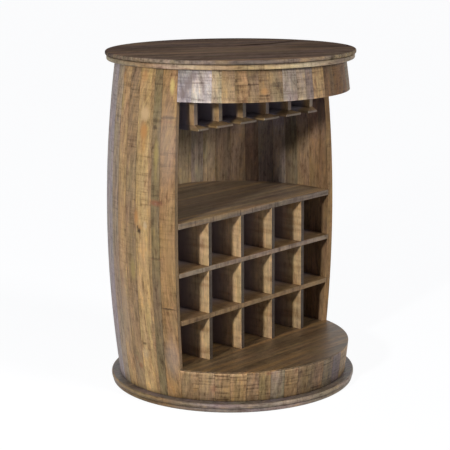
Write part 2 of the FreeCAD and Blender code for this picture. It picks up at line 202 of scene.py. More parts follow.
class WoodTones(bpy.types.PropertyGroup):
    """Tones of the wood"""
    golden: tone("Golden", "Bright golden stave", (0.468, 0.305, 0.137))
    honey: tone("Honey", "Warm reddish tan wood", (0.371, 0.218, 0.096))
    tan: tone("Tan", "Plain tan wood", (0.365, 0.230, 0.110))
    straw: tone("Straw", "Pale yellow wood", (0.479, 0.361, 0.223))
    # This tone is partly bleached wood and partly a painted sheen.
    bleached_and_sheen: tone("Silver", "Bleached grey wood", (0.552, 0.468, 0.413))
    ash: tone("Ash", "Grey tan wood", (0.323, 0.235, 0.150))
    mauve: tone("Mauve", "Grey wood with a purple cast", (0.342, 0.279, 0.254))
    moss: tone("Moss", "Greenish grey brown wood", (0.231, 0.163, 0.084))
    brown: tone("Brown", "Middle brown wood", (0.270, 0.175, 0.091))
    umber: tone("Umber", "Dark brown wood", (0.175, 0.107, 0.058))
    # The next two tones are painted shade: dark tones for wood deep in the rack, behind the rails' fronts and on
    # the ceiling panel, where little light falls.
    painted_rack_shade: tone("Dusk", "Unfinished wood deep in the rack", (0.240, 0.188, 0.180))
    painted_cool_shade: tone("Slate", "Unfinished wood behind the fronts of the rails", (0.185, 0.163, 0.188))
    rack: tone("Rack", "Golden faces of the bottle rack", (0.515, 0.345, 0.178))
    stain: tone("Stain", "Brown satin stain on the boards", (0.160, 0.098, 0.047))
    shelf: tone("Shelf", "Greyer stain on the bar shelf", (0.242, 0.168, 0.106))
    walnut: tone("Walnut", "Dark stain on the top", (0.228, 0.150, 0.100))
    rim: tone("Rim", "Worn rims of the top and the base", (0.238, 0.184, 0.144))
    edge: tone("Edge", "Front edges of the boards", (0.300, 0.220, 0.150))
    rust: tone("Rust", "Reddish knots", (0.240, 0.095, 0.048))
    bark: tone("Bark", "Dark knots, cracks and pores", (0.045, 0.026, 0.016))
    amber: tone("Amber", "Orange patches round knots", (0.420, 0.205, 0.070))
    citron: tone("Citron", "Bright yellow sapwood", (0.560, 0.420, 0.140))
    olive: tone("Olive", "Yellow green patches", (0.300, 0.220, 0.075))
    plum: tone("Plum", "Dark purple grey patches", (0.172, 0.126, 0.110))


class WorkSizes(bpy.types.PropertyGroup):
    """Sizes of the barrel's wall and of the eased edges"""
    bulge_radius: length("Bulge radius", "Widest outer radius of the barrel", 0.3805)
    bulge_height: length("Bulge height", "Height of the widest ring above the ground", 0.49)
    bend_radius: length("Bend radius", "Radius that each stave is bent to", 3.594)
    stave_thickness: length("Stave thickness", "Thickness of staves and blocks", 0.018)
    stave_ease: length("Stave ease", "Width of the eased edges of staves and blocks", 0.0009)
    board_ease: length("Board ease", "Width of the eased edges of boards and rails", 0.0011)
    plank_ease: length("Plank ease", "Width of the eased joints in the top", 0.0004)
    rim_rounding: length("Rim rounding", "Radius of the rounded rims of the top and the base", 0.0048)
    base_hollow: length("Base hollow", "Depth of the relieved underside of the base", 0.0005)


class StudioSettings(bpy.types.PropertyGroup):
    """Camera, lamps and surrounding light"""
    eye_distance: length("Eye distance", "Camera distance from the barrel's axis", 4.328)
    eye_height: length("Eye height", "Camera height above the floor", 1.3996)
    eye_angle: angle("Eye angle", "Camera angle left of the front", 48.43)
    pitch: angle("Pitch", "Camera tilt downwards", 12.17)
    yaw: angle("Yaw", "Camera turn off the axis", -0.27)
    roll: angle("Roll", "Camera roll", -0.41)
    lens: setting("Lens", "Focal length in millimetres on a 36 mm sensor", 115.3)
    shift: setting("Shift", "Upward shift of the frame", 0.00676)
    key_power: setting("Key", "Power of the key lamp", 129, unit="POWER")
    key_angle: angle("Key angle", "Key lamp angle left of the front", 75)
    key_distance: length("Key distance", "Key lamp distance from the barrel's axis", 4.2)
    key_height: length("Key height", "Key lamp height above the floor", 1.77)
    key_size: length("Key size", "Diameter of the key lamp", 0.36)
    fill_strength: setting("Fill", "Strength of the fill lamp", 1.7)
    fill_angle: angle("Fill angle", "Fill lamp angle left of the front", -6)
    fill_rise: angle("Fill rise", "Height of the fill lamp as an angle", 20)
    fill_softness: angle("Fill softness", "Apparent size of the fill lamp", 16)
    ambient: setting("Ambient", "Strength of the light from all round", 0.115)


class Value:
    """Shader socket on which ordinary arithmetic adds Math nodes."""

    def __init__(self, paint, socket):
        self.paint = paint
        self.socket = socket

    def math(self, operation, first, second):
        return self.paint.node("ShaderNodeMath", {"operation": operation}, {0: first, 1: second})

    def __add__(self, other):
        return self.math("ADD", self, other)

    def __sub__(self, other):
        return self.math("SUBTRACT", self, other)

    def __rsub__(self, other):
        return self.math("SUBTRACT", other, self)

    def __mul__(self, other):
        return self.math("MULTIPLY", self, other)

    __radd__ = __add__
    __rmul__ = __mul__


class Paint:
    """Node tree in the making, of a material or of the world."""

    def __init__(self, owner):
        owner.use_nodes = True
        self.owner = owner
        self.tree = owner.node_tree
        self.tree.nodes.clear()

    def node(self, kind, settings=None, sockets=None, out=0):
        made = self.tree.nodes.new(kind)
        for key, value in (settings or {}).items():
            setattr(made, key, value)
        for key, value in (sockets or {}).items():
            if isinstance(value, Value):
                self.tree.links.new(value.socket, made.inputs[key])
            else:
                made.inputs[key].default_value = value
        return Value(self, made.outputs[out]) if made.outputs else None

    def attribute(self, name, out):
        return self.node("ShaderNodeAttribute", {"attribute_name": name}, out=out)

    def vector(self, operation, first, second=None, third=None, scale=None):
        sockets = {0: first, 1: second, 2: third, "Scale": scale}
        sockets = {key: value for key, value in sockets.items() if value is not None}
        return self.node("ShaderNodeVectorMath", {"operation": operation}, sockets)

    def noise(self, vector, detail, roughness=0.55, out=0):
        sockets = {"Vector": vector, "Scale": 1, "Detail": detail, "Roughness": roughness}
        return self.node("ShaderNodeTexNoise", {}, sockets, out)

    def drawn_noise(self, grain, along, across, detail, roughness=0.55, out=0):
        """Noise that is drawn out along the grain."""
        return self.noise(self.vector("MULTIPLY", grain, (along, across, across)), detail, roughness, out)

    def between(self, value, low, high, start=0, end=1):
        """Eases from start to end while the value goes from low to high."""
        sockets = {"Value": value, "From Min": low, "From Max": high, "To Min": start, "To Max": end}
        return self.node("ShaderNodeMapRange", {"interpolation_type": "SMOOTHSTEP"}, sockets)

    def mix(self, share, first, second, blend="MIX"):
        # Of this node's sockets, 6 and 7 take colours, and 2 gives one.
        sockets = {0: share, 6: first, 7: second}
        return self.node("ShaderNodeMix", {"data_type": "RGBA", "blend_type": blend}, sockets, 2)

    def tinted(self, share, colour, tint):
        """Multiplies a colour by a tint, as far as the share says."""
        return self.mix(share, colour, (*tint, 1), "MULTIPLY")


def shade_of(name, light=1.0):
    colour = getattr(bpy.context.scene.barrel_tones, name)
    return Vector((colour[0] * light, colour[1] * light, colour[2] * light, 1))


def swing(noise, amount):
    """Change that a noise makes either way from its middle."""
    return (noise - 0.5) * amount


def planed(shade):
    """The same tone on a face without saw marks."""
    return Vector((*shade.xyz, 0))


def add_mark(paint, colour, place, mark):
    """Paints one knot, crack or patch: an oval with a soft ragged edge round a point, level or turned."""
    centre, reach, ink, strength, *turn = mark
    away = paint.vector("SUBTRACT", place, tuple(centre))
    if turn:
        sockets = {"Vector": away, "Angle": -turn[0]}
        away = paint.node("ShaderNodeVectorRotate", {"rotation_type": "Z_AXIS"}, sockets)
    near = paint.vector("MULTIPLY", away, tuple(1 / size for size in reach))
    distance = paint.node("ShaderNodeVectorMath", {"operation": "LENGTH"}, {0: near}, "Value")
    share = paint.between(distance, MARK_CORE, 1, strength, 0)
    return paint.mix(share, colour, tuple(shade_of(ink)))


def wood_paint(
    name, life=1.0, figure=1.0, mottle=1.0, ripple=0.0, saw=0.0, roughness=0.5, gloss=0.3, deep=None, marks=()
):
    """Wood whose tone and grain direction come from the piece: streaks, fibres, pores, blots and saw marks.

    Life is the contrast of its fibres, figure that of its bands, mottle of its blots and ripple of waves across it.
    Deep is where it turns to a painted shade behind the opening, from and to, and the tone."""
    paint = Paint(bpy.data.materials.new(name))
    grain = paint.attribute("grain", "Vector")
    colour = paint.attribute("tone", "Color")
    # The fibres wander a little along a board.
    drift = paint.drawn_noise(grain, along=3, across=8, detail=2, out="Color")
    wander = paint.vector("MULTIPLY_ADD", drift, (0, WANDER, WANDER), grain)
    bands = paint.drawn_noise(wander, along=1.3, across=38, detail=4)
    streaks = paint.drawn_noise(wander, along=6, across=170, detail=4, roughness=0.6)
    fibres = paint.drawn_noise(wander, along=40, across=900, detail=3, roughness=0.6)
    blots = paint.drawn_noise(wander, along=30, across=75, detail=5, roughness=0.65)
    pores = paint.between(paint.drawn_noise(wander, along=80, across=1300, detail=2), 0.6, 0.74)
    # Old wood is never one colour: its hue drifts, and blots turn golden or reddish.
    hues = paint.drawn_noise(wander, along=8, across=26, detail=3, out="Color")
    spread = HUE_SPREAD * mottle
    hues = paint.vector("MULTIPLY_ADD", hues, tuple(spread), tuple(Vector((1, 1, 1)) - spread / 2))
    colour = paint.vector("MULTIPLY", colour, hues)
    colour = paint.tinted(paint.between(blots, 0.52, 0.72, 0, 0.7 * mottle), colour, GOLDEN_BLOTS)
    if figure > 1:
        colour = paint.tinted(paint.between(bands, 0.5, 0.66, 0, 0.4 * (figure - 1)), colour, GOLDEN_BANDS)
    colour = paint.tinted(paint.between(blots, 0.48, 0.3, 0, 0.8 * mottle), colour, REDDISH_BLOTS)
    light = 1 + swing(streaks, 0.9 * life) + swing(fibres, 0.7 * life)
    light = light + swing(bands, 0.6 * life * figure) + swing(blots, 1.1 * mottle)
    height = streaks * 0.5 + fibres * 0.5 - pores * 0.4
    if ripple:
        waves = paint.drawn_noise(grain, along=60, across=7, detail=2)
        light = light + swing(waves, 1.6 * ripple)
        colour = paint.tinted(paint.between(waves, 0.5, 0.32, 0, ripple), colour, RIPPLE_DARK)
    if saw:
        lines = paint.drawn_noise(grain, along=170, across=10, detail=3, roughness=0.6)
        zones = paint.between(paint.drawn_noise(grain, along=11, across=14, detail=2), 0.38, 0.6, 0.3, 1)
        zones = zones * paint.attribute("tone", "Alpha")
        cuts = paint.between(lines, 0.46, 0.3) * zones * saw
        light = light + swing(lines, 1.8 * saw) * zones
        colour = paint.tinted(cuts, colour, SAW_DARK)
        height = height - cuts * 0.8
    colour = paint.vector("SCALE", colour, scale=light)
    colour = paint.mix(pores * (0.45 * life), colour, tuple(shade_of("bark")))
    place = paint.node("ShaderNodeTexCoord", out="Object")
    # Painted shade: behind the opening the tone turns to a dark one, where little light reaches.
    if deep:
        start, end, ink = deep
        depth = paint.node("ShaderNodeSeparateXYZ", {}, {0: place}, "Y") + OPENING
        colour = paint.mix(paint.between(depth, start, end, 0, DEEP_SHARE), colour, tuple(shade_of(ink)))
    if marks:
        ragged = paint.noise(paint.vector("SCALE", place, scale=160), 3, out="Color")
        place = paint.vector("MULTIPLY_ADD", ragged, (MARK_RAGGED, MARK_RAGGED, MARK_RAGGED), place)
        for mark in marks:
            colour = add_mark(paint, colour, place, mark)
    bump = paint.node("ShaderNodeBump", {}, {"Strength": 0.35, "Distance": 0.0009, "Height": height})
    sockets = {
        "Base Color": colour, "Roughness": roughness + swing(streaks, 0.35), "Specular IOR Level": gloss,
        "Normal": bump,
    }
    shader = paint.node("ShaderNodeBsdfPrincipled", {}, sockets)
    paint.node("ShaderNodeOutputMaterial", {}, {"Surface": shader})
    return paint.owner


def steel_paint(name):
    """Zinc-plated steel with fine turned lines."""
    paint = Paint(bpy.data.materials.new(name))
    place = paint.node("ShaderNodeTexCoord", out="Object")
    turned = paint.noise(paint.vector("MULTIPLY", place, (200, 200, 4000)), 2)
    dull, bright = (0.46, 0.46, 0.47, 1), (0.66, 0.66, 0.64, 1)
    shade = paint.mix(turned, dull, bright)
    sockets = {"Base Color": shade, "Metallic": 1, "Roughness": 0.3 + turned * 0.2}
    shader = paint.node("ShaderNodeBsdfPrincipled", {}, sockets)
    paint.node("ShaderNodeOutputMaterial", {}, {"Surface": shader})
    return paint.owner


def seeded(name):
    """Starting point of a piece's grain, the same at each run."""
    dice = random.Random(name)
    reach = 4
    return Vector([dice.uniform(-reach, reach) for _ in range(3)])


def everything(bm):
    return bm.verts[:] + bm.edges[:] + bm.faces[:]


def round_over(bm, edges, width, segments):
    bmesh.ops.bevel(
        bm, geom=edges, offset=width, offset_type="OFFSET", segments=segments, profile=0.5, affect="EDGES",
        material=-1, clamp_overlap=True,
    )


def ease_edges(bm, width):
    bmesh.ops.remove_doubles(bm, verts=bm.verts, dist=MERGE)
    bmesh.ops.recalc_face_normals(bm, faces=bm.faces)
    shortest = 4 * width
    corners = [
        edge for edge in bm.edges
        if edge.is_manifold and edge.calc_face_angle() > SHARP and edge.calc_length() > shortest
    ]
    round_over(bm, corners, width, segments=2)


def joined(parts):
    """One bmesh that holds all the parts."""
    whole = bmesh.new()
    for part in parts:
        scrap = bpy.data.meshes.new("scrap")
        part.to_mesh(scrap)
        part.free()
        whole.from_mesh(scrap)
        bpy.data.meshes.remove(scrap)
    return whole


def placed(name, data):
    """New object in the scene."""
    made = bpy.data.objects.new(name, data)
    bpy.context.scene.collection.objects.link(made)
    return made


def finish_piece(bm, name, grain, tone_at, paint, node, painted_shade_and_wear=None):
    """Turns a bmesh into a piece that stands for a node, with its grain and tones written on its corners."""
    if any(not edge.is_manifold for edge in bm.edges):
        raise RuntimeError(f"{name} isn't closed")
    grain_layer = bm.loops.layers.float_vector.new("grain")
    tone_layer = bm.loops.layers.float_color.new("tone")
    bm.normal_update()
    for face in bm.faces:
        face.smooth = True
        shade = tone_at(face)
        for loop in face.loops:
            loop[grain_layer] = grain(face, loop.vert.co)
            # Where given, the painted shade, painted highlights and wear along level lines scale the tone.
            loop[tone_layer] = (*(shade.xyz * painted_shade_and_wear(loop.vert.co)), shade.w) if painted_shade_and_wear else shade
    mesh = bpy.data.meshes.new(name)
    bm.to_mesh(mesh)
    bm.free()
    mesh.set_sharp_from_angle(angle=SHARP)
    mesh.materials.append(paint)
    piece = placed(name, mesh)
    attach(piece, "root")
    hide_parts(node)


def turn_from_back(point):
    """Angle round the barrel from the back, towards the left side."""
    return math.atan2(-point.x, point.y)


def turn_from_front(point):
    """Angle round the barrel from the front, towards the right side."""
    return math.atan2(point.x, -point.y)


def distinct(values, gap):
    """The values in order, without those nearer than a gap to another."""
    found = []
    for value in values:
        if all(abs(value - other) > gap for other in found):
            found.append(value)
    return sorted(found)


def wall_point(turn, height):
    """Point of the barrel's outside at an angle from the back and a height."""
    sizes = bpy.context.scene.barrel_sizes
    rise = height - sizes.bulge_height
    radius = sizes.bulge_radius - sizes.bend_radius + math.sqrt(sizes.bend_radius ** 2 - rise ** 2)
    return Vector((-math.sin(turn) * radius, math.cos(turn) * radius, height))


def patch_places(table):
    """Places of painted patches on the barrel's outside, from their angles and heights."""
    return [
        (wall_point(math.radians(turn), height), (wide, wide, tall), ink, strength)
        for turn, height, wide, tall, ink, strength in table
    ]


def wall_block(start, end, low, high, rows, columns):
    """Curved wedge of the barrel's wall between two angles from the back and two heights."""
    sizes = bpy.context.scene.barrel_sizes
    bm = bmesh.new()
    centre = Vector((sizes.bulge_radius - sizes.bend_radius, 0, sizes.bulge_height))
    margin = sizes.stave_thickness
    tilts = [math.asin((height - centre.z) / sizes.bend_radius) for height in (low - margin, high + margin)]
    across = Vector((math.cos(tilts[0]), 0, math.sin(tilts[0])))
    inside = bm.verts.new(centre + across * (sizes.bend_radius - sizes.stave_thickness))
    outside = bm.verts.new(centre + across * sizes.bend_radius)
    edge = bm.edges.new((inside, outside))
    bmesh.ops.spin(
        bm, geom=[inside, outside, edge], cent=centre, axis=(0, -1, 0), angle=tilts[1] - tilts[0], steps=rows
    )
    # The ends are sawn level; a row of faces beside each end can take on painted shade and wear.
    band = margin / 3
    for height, way, sawn in ((low, -1, True), (high, 1, True), (low + band, -1, False), (high - band, 1, False)):
        bmesh.ops.bisect_plane(
            bm, geom=everything(bm), dist=MERGE, plane_co=(0, 0, height), plane_no=(0, 0, way), clear_outer=sawn
        )
    quarter = math.pi / 2
    bmesh.ops.rotate(bm, verts=bm.verts, cent=(0, 0, 0), matrix=Matrix.Rotation(start + quarter, 3, "Z"))
    bmesh.ops.spin(bm, geom=everything(bm), cent=(0, 0, 0), axis=(0, 0, 1), angle=end - start, steps=columns)
    return bm


def cut_flat(bm, place, way):
    """Saws a block off along a plane and closes the cut."""
    sawn = bmesh.ops.bisect_plane(
        bm, geom=everything(bm), dist=MERGE, plane_co=place, plane_no=way, clear_outer=True
    )["geom_cut"]
    bmesh.ops.holes_fill(bm, edges=[item for item in sawn if isinstance(item, bmesh.types.BMEdge)], sides=0)


def eased_copy(node):
    """Copy of a board's or a rail's solid with its sharp edges eased."""
    bm = bmesh.new()
    bm.from_mesh(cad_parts[node].data)
    bmesh.ops.remove_doubles(bm, verts=bm.verts, dist=MERGE)
    bmesh.ops.dissolve_limit(bm, angle_limit=FLAT, verts=bm.verts, edges=bm.edges)
    ease_edges(bm, bpy.context.scene.barrel_sizes.board_ease)
    return bm


def round_disc(radius, low, high, rounding):
    bm = bmesh.new()
    bmesh.ops.create_circle(bm, cap_ends=True, segments=192, radius=radius)
    bmesh.ops.translate(bm, verts=bm.verts, vec=(0, 0, low))
    lifted = bmesh.ops.extrude_face_region(bm, geom=bm.faces[:])["geom"]
    corners = [item for item in lifted if isinstance(item, bmesh.types.BMVert)]
    bmesh.ops.translate(bm, verts=corners, vec=(0, 0, high - low))
    bmesh.ops.recalc_face_normals(bm, faces=bm.faces)
    rims = [
        edge for edge in bm.edges
        if edge.calc_face_angle() > SHARP and abs(edge.verts[0].co.z - edge.verts[1].co.z) < MERGE
    ]
    round_over(bm, rims, rounding, segments=6)
    return bm


def level_lines(*lines):
    """Painted shade, painted highlights and wear along level lines: height, change in lightness and reach."""
    def painted_shade_and_wear(place):
        return 1 + sum(change * math.exp(-abs(place.z - height) / reach) for height, change, reach in lines)
    return painted_shade_and_wear


def along_barrel(start):
    """Grain that runs up the barrel."""
    def grain(face, place):
        turn = turn_from_back(place)
        radius = math.hypot(place.x, place.y)
        return start + Vector((place.z, turn * radius, radius))
    return grain


def along_axis(start, axis):
    """Grain that runs straight along one axis."""
    def grain(face, place):
        others = [place[index] for index in range(3) if index != axis]
        return start + Vector((place[axis], *others))
    return grain


def face_kind(face):
    """How a face of a wall block lies: outside, inside, end, side, or an eased edge."""
    centre = face.calc_center_median()
    out = Vector((centre.x, centre.y, 0)).normalized()
    round_way = Vector((-out.y, out.x, 0))
    shares = {
        "outside": face.normal.dot(out), "inside": -face.normal.dot(out), "end": abs(face.normal.z),
        "side": abs(face.normal.dot(round_way)),
    }
    kind = max(shares, key=shares.get)
    return kind if shares[kind] > BLOCK_FACE else "eased"


def inside_shade(shade, height):
    """Tone of a stave's inside: planed, lighter, and with a painted cool shade, most of all under the ceiling."""
    rise = max(0, min(1, (height - COOL_SHADE_FROM) / (COOL_SHADE_TO - COOL_SHADE_FROM)))
    grey = LEAST_COOL_SHADE + (1 - LEAST_COOL_SHADE) * rise
    return planed(shade * (INSIDE_LIGHT + COOL_SHADE_LIFT * grey))


class PieceOperator(bpy.types.Operator):
    """Base of the operators that make pieces."""
    bl_options = {"REGISTER", "UNDO"}


class BARREL_OT_staves(PieceOperator):
    """Makes the bent staves of the barrel's sides and back"""
    bl_idname = "barrel.make_staves"
    bl_label = "Staves"

    def marks(self):
        """Knots, cracks and patches on the left side: angle from the back, height, half width, half length, tone
        and strength."""
        table = (
            (87.1, 0.967, 0.022, 0.024, "amber", 0.5),
            (88.8, 0.861, 0.026, 0.030, "rack", 0.9),
            (88.4, 0.813, 0.021, 0.036, "amber", 1.0),
            (84.6, 0.560, 0.014, 0.034, "amber", 0.85),
            (90.2, 0.541, 0.012, 0.018, "straw", 0.7),
            (86.8, 0.532, 0.018, 0.014, "amber", 0.6),
            (86.4, 0.522, 0.013, 0.014, "bark", 1.0),
            (85.4, 0.533, 0.008, 0.010, "bark", 0.9),
            (86.4, 0.181, 0.015, 0.006, "bark", 0.7),
            (86.6, 0.150, 0.020, 0.024, "straw", 0.35),
            (96.3, 0.758, 0.013, 0.075, "olive", 1.0),
            (96.2, 0.700, 0.009, 0.050, "olive", 0.5),
            (95.2, 0.825, 0.012, 0.010, "bark", 0.7),
            (96.5, 0.611, 0.034, 0.013, "rust", 0.8),
            (98.6, 0.614, 0.012, 0.008, "bark", 0.45),
            (96.4, 0.609, 0.007, 0.006, "mauve", 0.6),
            (96.2, 0.448, 0.026, 0.006, "bark", 0.5),
            (94.0, 0.446, 0.008, 0.006, "rust", 0.7),
            (98.2, 0.446, 0.008, 0.006, "rust", 0.7),
            (103.5, 0.948, 0.012, 0.040, "citron", 0.8),
            (102.5, 0.856, 0.036, 0.0050, "bark", 0.6),
            (102.5, 0.843, 0.034, 0.0045, "rust", 0.45),
            (102.2, 0.303, 0.036, 0.0045, "bark", 0.8),
            (102.9, 0.460, 0.030, 0.120, "honey", 0.35),
            (102.5, 0.150, 0.034, 0.090, "mauve", 0.3),
            (101.5, 0.800, 0.040, 0.100, "straw", 0.12),
            (102.0, 0.790, 0.050, 0.200, "mauve", 0.2),
            (72.5, 0.250, 0.036, 0.200, "mauve", 0.25),
            (88.4, 0.780, 0.018, 0.060, "amber", 0.4),
            (81.3, 0.402, 0.016, 0.048, "olive", 0.7),
            (82.9, 0.510, 0.007, 0.022, "olive", 0.6),
            (81.9, 0.106, 0.014, 0.014, "rust", 0.7),
            (79.5, 0.125, 0.012, 0.016, "rust", 0.45),
            (70.5, 0.957, 0.016, 0.024, "amber", 0.4),
            (70.1, 0.884, 0.012, 0.040, "olive", 0.35),
            (66.0, 0.830, 0.016, 0.010, "plum", 0.6),
        )
        return patch_places(table)

    def execute(self, context):
        sizes = context.scene.barrel_sizes
        paint = wood_paint(
            "weathered_stave", life=1.65, mottle=0.85, saw=0.3, roughness=0.55, gloss=0.1, marks=self.marks()
        )
        # Lighter over the lowest part and darker at the foot; a painted shadow at the head, under the overhanging
        # top.
        painted_shade_and_wear = level_lines((FOOT, 0.22, 0.12), (FOOT, -0.7, 0.006), (HEAD, -0.6, 0.004))
        for node, (name, light) in zip(nodes_called("stave_"), STAVE_TONES, strict=True):
            turns = [turn_from_back(vertex.co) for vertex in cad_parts[node].data.vertices]
            bm = wall_block(min(turns), max(turns), FOOT, HEAD, rows=60, columns=5)
            ease_edges(bm, sizes.stave_ease)

            def tone_at(face):
                kind = face_kind(face)
                centre = face.calc_center_median()
                if kind == "side" and node in EDGE_TONES:
                    return shade_of(*EDGE_TONES[node])
                if node in SAPWOOD and turn_from_back(centre) > SAPWOOD[node][0]:
                    return shade_of(SAPWOOD[node][1], light)
                share = STAVE_SHARES[kind]
                if kind == "eased" and face.normal.xy.dot(centre.xy) < 0:
                    share = INNER_EASED
                shade = shade_of(name, light * share)
                # Inside faces take the painted cool shade.
                if kind == "inside":
                    return inside_shade(shade, centre.z)
                # Sawn more roughly towards the top.
                shade.w = SAW_AT_GROUND + SAW_RISE * centre.z
                return shade

            grain = along_barrel(seeded(node))
            finish_piece(bm, f"{node}_wood", grain, tone_at, paint, node, painted_shade_and_wear)
        return {"FINISHED"}


class BARREL_OT_blocks(PieceOperator):
    """Makes the short blocks of the drum below the opening and the fascia above it"""
    bl_idname = "barrel.make_blocks"
    bl_label = "Drum and fascia blocks"

    def marks(self):
        """Purple grey and orange patches, given as on the staves."""
        table = (
            (113.6, 0.974, 0.018, 0.024, "plum", 0.8),
            (111.6, 0.952, 0.018, 0.026, "plum", 0.8),
            (109.4, 0.928, 0.018, 0.026, "plum", 0.8),
            (141.3, 0.972, 0.024, 0.010, "bark", 0.6),
            (147.1, 0.931, 0.016, 0.014, "amber", 0.7),
            (153.0, 0.948, 0.026, 0.010, "bark", 0.55),
            (122.4, 0.069, 0.016, 0.020, "rust", 0.4),
            (149.0, 0.114, 0.016, 0.012, "rust", 0.5),
        )
        return patch_places(table)

    def edges(self, node):
        """Angles from the front of the long edges of a node's blocks."""
        turns = []
        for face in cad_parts[node].data.polygons:
            out = Vector((face.center.x, face.center.y, 0)).normalized()
            if face.area > SIDE_AREA and abs(face.normal.dot(Vector((-out.y, out.x, 0)))) > SQUARE:
                turns.append(turn_from_front(face.center))
        return distinct(turns, BLOCK_GAP)

    def make(self, node, names, paint, foot, head, fade):
        """Makes a ring of blocks, darker or lighter at the foot and the head and fading from head to foot."""
        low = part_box(node)[0].z
        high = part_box(node)[1].z
        turns = self.edges(node)
        if len(turns) != len(names) + 1:
            raise RuntimeError(f"{node} has {len(turns)} edges for {len(names)} blocks")
        joints = turns[1:-1]
        parts = []
        for start, end in zip(turns, turns[1:]):
            part = wall_block(start + math.pi, end + math.pi, low, high, rows=16, columns=4)
            ease_edges(part, bpy.context.scene.barrel_sizes.stave_ease)
            parts.append(part)
        starts = [seeded(f"{node}{number}") for number in range(len(names))]

        def block_of(face):
            turn = turn_from_front(face.calc_center_median())
            return sum(turn > joint for joint in joints)

        def grain(face, place):
            turn = turn_from_front(place)
            radius = math.hypot(place.x, place.y)
            return starts[block_of(face)] + Vector((place.z, turn * radius, radius))

        def tone_at(face):
            name, light = names[block_of(face)]
            shade = shade_of(name, light * BLOCK_SHARES[face_kind(face)])
            # The bleached blocks with their painted sheen get fainter saw marks.
            if name == "bleached_and_sheen":
                shade.w = SAW_BLEACHED
            return shade

        painted_shade_and_wear = level_lines((low, foot, 0.004), (high, head, 0.004), (low, -fade, 0.03), (high, fade, 0.04))
        finish_piece(joined(parts), f"{node}_wood", grain, tone_at, paint, node, painted_shade_and_wear)

    def execute(self, context):
        paint = wood_paint(
            "sawn_block", life=1.5, mottle=1.1, saw=1.05, roughness=0.5, gloss=0.14, marks=self.marks()
        )
        # Drum: darker at the foot and towards it, paler at its worn head.
        self.make("drum_blocks", DRUM_TONES, paint, foot=-0.6, head=0.7, fade=0.24)
        # Fascia: lighter at the foot, and a painted shadow at the head, under the overhanging top.
        self.make("fascia_blocks", FASCIA_TONES, paint, foot=0.35, head=-0.6, fade=0)
        return {"FINISHED"}


def rim_grain(start, radius):
    """Grain that follows a disc's rim, and runs straight across its flat faces."""
    def grain(face, place):
        if abs(face.normal.z) > DISC_FLAT:
            return start + place
        middle = turn_from_front(face.calc_center_median())
        turn = turn_from_front(place)
        if abs(turn - middle) > math.pi:
            turn += math.copysign(2 * math.pi, middle)
        return start + Vector((turn * radius, place.z, math.hypot(place.x, place.y)))
    return grain


def rim_shade(table, face):
    """Tone of a rim where a face lies, blended between the angles of a table."""
    turn = math.degrees(turn_from_front(face.calc_center_median()))
    before, after = next(pair for pair in zip(table, table[1:]) if turn <= pair[1][0])
    share = (turn - before[0]) / (after[0] - before[0])
    return shade_of(*before[1:]).lerp(shade_of(*after[1:]), share)


class BARREL_OT_base(PieceOperator):
    """Makes the two rounded discs that the barrel stands on"""
    bl_idname = "barrel.make_base"
    bl_label = "Base"

    def execute(self, context):
        sizes = context.scene.barrel_sizes
        paint = wood_paint("base_wood", life=1.6, mottle=1.3, saw=0.45, roughness=0.4, gloss=0.16)
        groove, ledge = (corner.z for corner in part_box("base_upper_disc"))
        # Painted shade along the bottom edge and in the groove between the discs, and a painted highlight along the
        # upper rim.
        painted_shade_and_wear = level_lines((0, -0.5, 0.002), (groove, -0.75, 0.0022), (ledge - sizes.rim_rounding, 0.35, 0.003))

        def tone_at(face):
            return shade_of("rim", 0.56) if abs(face.normal.z) > DISC_FLAT else rim_shade(BASE_TONES, face)

        for node in ("base_lower_disc", "base_upper_disc"):
            low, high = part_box(node)
            bm = round_disc(high.x, low.z, high.z, sizes.rim_rounding)
            if node == "base_lower_disc":
                under = [face for face in bm.faces if face.normal.z < -SQUARE]
                border = 4 * sizes.rim_rounding
                bmesh.ops.inset_individual(bm, faces=under, thickness=border, use_even_offset=True)
                bmesh.ops.translate(bm, verts=under[0].verts[:], vec=(0, 0, sizes.base_hollow))
            grain = rim_grain(seeded(node), high.x)
            finish_piece(bm, f"{node}_wood", grain, tone_at, paint, node, painted_shade_and_wear)
        return {"FINISHED"}


